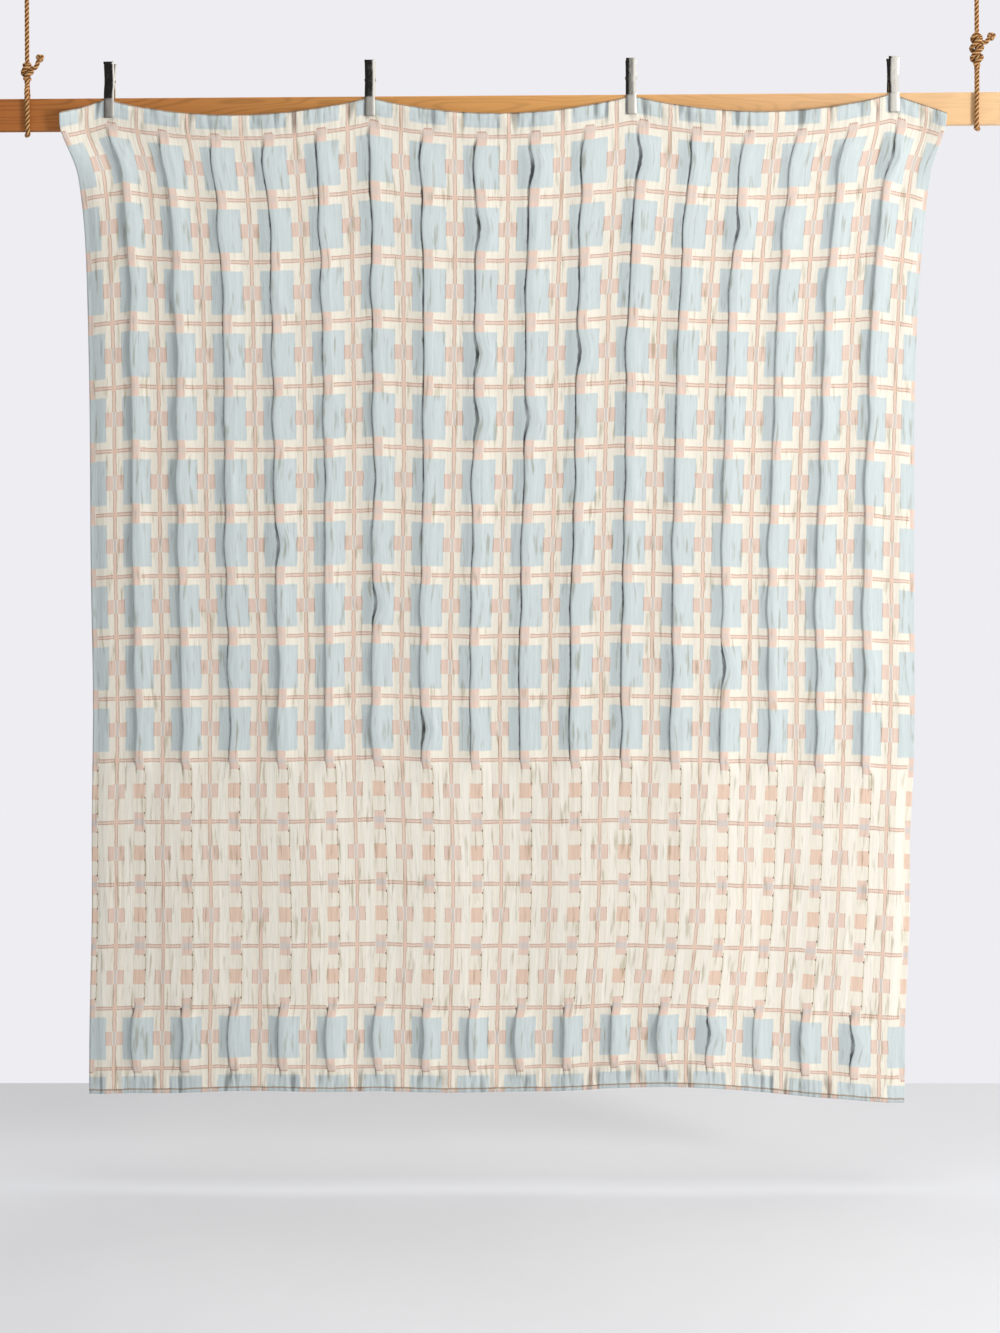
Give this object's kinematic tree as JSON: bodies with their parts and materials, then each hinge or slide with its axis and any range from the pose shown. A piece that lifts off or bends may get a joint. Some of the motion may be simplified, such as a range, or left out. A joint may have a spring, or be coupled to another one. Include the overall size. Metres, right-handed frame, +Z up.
{
  "type": "woven plaid coverlet on a hanging wooden rail",
  "caption": "Woven cotton coverlet in a puckered plaid, clipped along its top edge to a flat wooden rail that hangs from the ceiling in knotted rope loops.",
  "frame": {"origin": "middle of the left ceiling boss's top face, on the ceiling", "axes": "+Z up, +X along the rail to the right of someone who faces the coverlet, -Y out of the coverlet's face"},
  "size_m": [2.6, 0.0798, 2.6816],
  "materials": {
    "cloth": "matte woven cotton double cloth in pale blue, cream and dusty pink",
    "wood": "planed and oiled pine",
    "chrome": "polished plate on pressed steel strap",
    "steel": "satin steel",
    "rope": "three-strand twisted natural fibre"
  },
  "bodies": {
    "root": {"coverlet": "cloth", "rail": "wood", "clip_1_front_leg": "chrome", "clip_1_back_leg": "chrome", "clip_1_pin": "steel", "clip_1_spring": "steel", "clip_2_front_leg": "chrome", "clip_2_back_leg": "chrome", "clip_2_pin": "steel", "clip_2_spring": "steel", "clip_3_front_leg": "chrome", "clip_3_back_leg": "chrome", "clip_3_pin": "steel", "clip_3_spring": "steel", "clip_4_front_leg": "chrome", "clip_4_back_leg": "chrome", "clip_4_pin": "steel", "clip_4_spring": "steel", "ceiling_boss_left": "steel", "rope_left_fall": "rope", "rope_left_knot": "rope", "rope_left_loop": "rope", "rope_left_tail": "rope", "rope_left_stopper": "rope", "ceiling_boss_right": "steel", "rope_right_fall": "rope", "rope_right_knot": "rope", "rope_right_loop": "rope", "rope_right_tail": "rope", "rope_right_stopper": "rope"}
  },
  "joints": []
}
